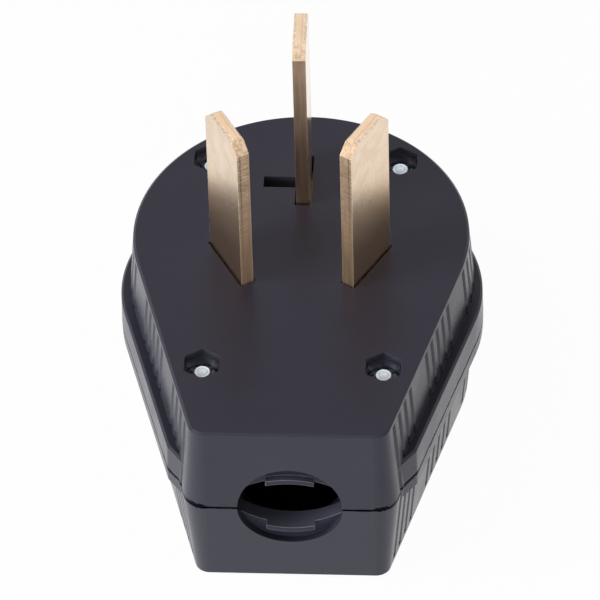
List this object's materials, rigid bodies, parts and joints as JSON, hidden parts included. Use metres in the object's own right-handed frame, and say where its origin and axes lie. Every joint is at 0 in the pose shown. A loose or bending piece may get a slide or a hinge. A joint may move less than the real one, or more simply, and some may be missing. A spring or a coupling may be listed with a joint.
{
  "type": "angled three-blade power plug",
  "caption": "Angled power plug in two moulded shells, with brass blades, a finger flange, sunken screws and nuts, and a clamped round cord opening.",
  "frame": {"origin": "centre of the plug's outline at its flat back", "axes": "+Z out of the face along the blades, -Y out of the cord opening, +X to the right with the cord opening towards the viewer"},
  "size_m": [0.066, 0.0834, 0.0758],
  "materials": {
    "shell_plastic": "fine matt moulded black plastic",
    "grip_plastic": "moulded black plastic",
    "blade_brass": "satin, with sheared edges",
    "terminal_steel": "plated",
    "screw_steel": "bright zinc plated"
  },
  "bodies": {
    "root": {"front_shell": "shell_plastic", "back_shell": "shell_plastic", "left_blade": "blade_brass", "left_wire_clamp": "terminal_steel", "left_terminal_screw": "terminal_steel", "right_blade": "blade_brass", "right_wire_clamp": "terminal_steel", "right_terminal_screw": "terminal_steel", "neutral_blade": "blade_brass", "neutral_wire_clamp": "terminal_steel", "neutral_terminal_screw": "terminal_steel", "near_left_housing_screw": "screw_steel", "near_left_nut": "screw_steel", "near_right_housing_screw": "screw_steel", "near_right_nut": "screw_steel", "far_left_housing_screw": "screw_steel", "far_left_nut": "screw_steel", "far_right_housing_screw": "screw_steel", "far_right_nut": "screw_steel", "upper_cord_grip": "grip_plastic", "lower_cord_grip": "grip_plastic"}
  },
  "joints": []
}
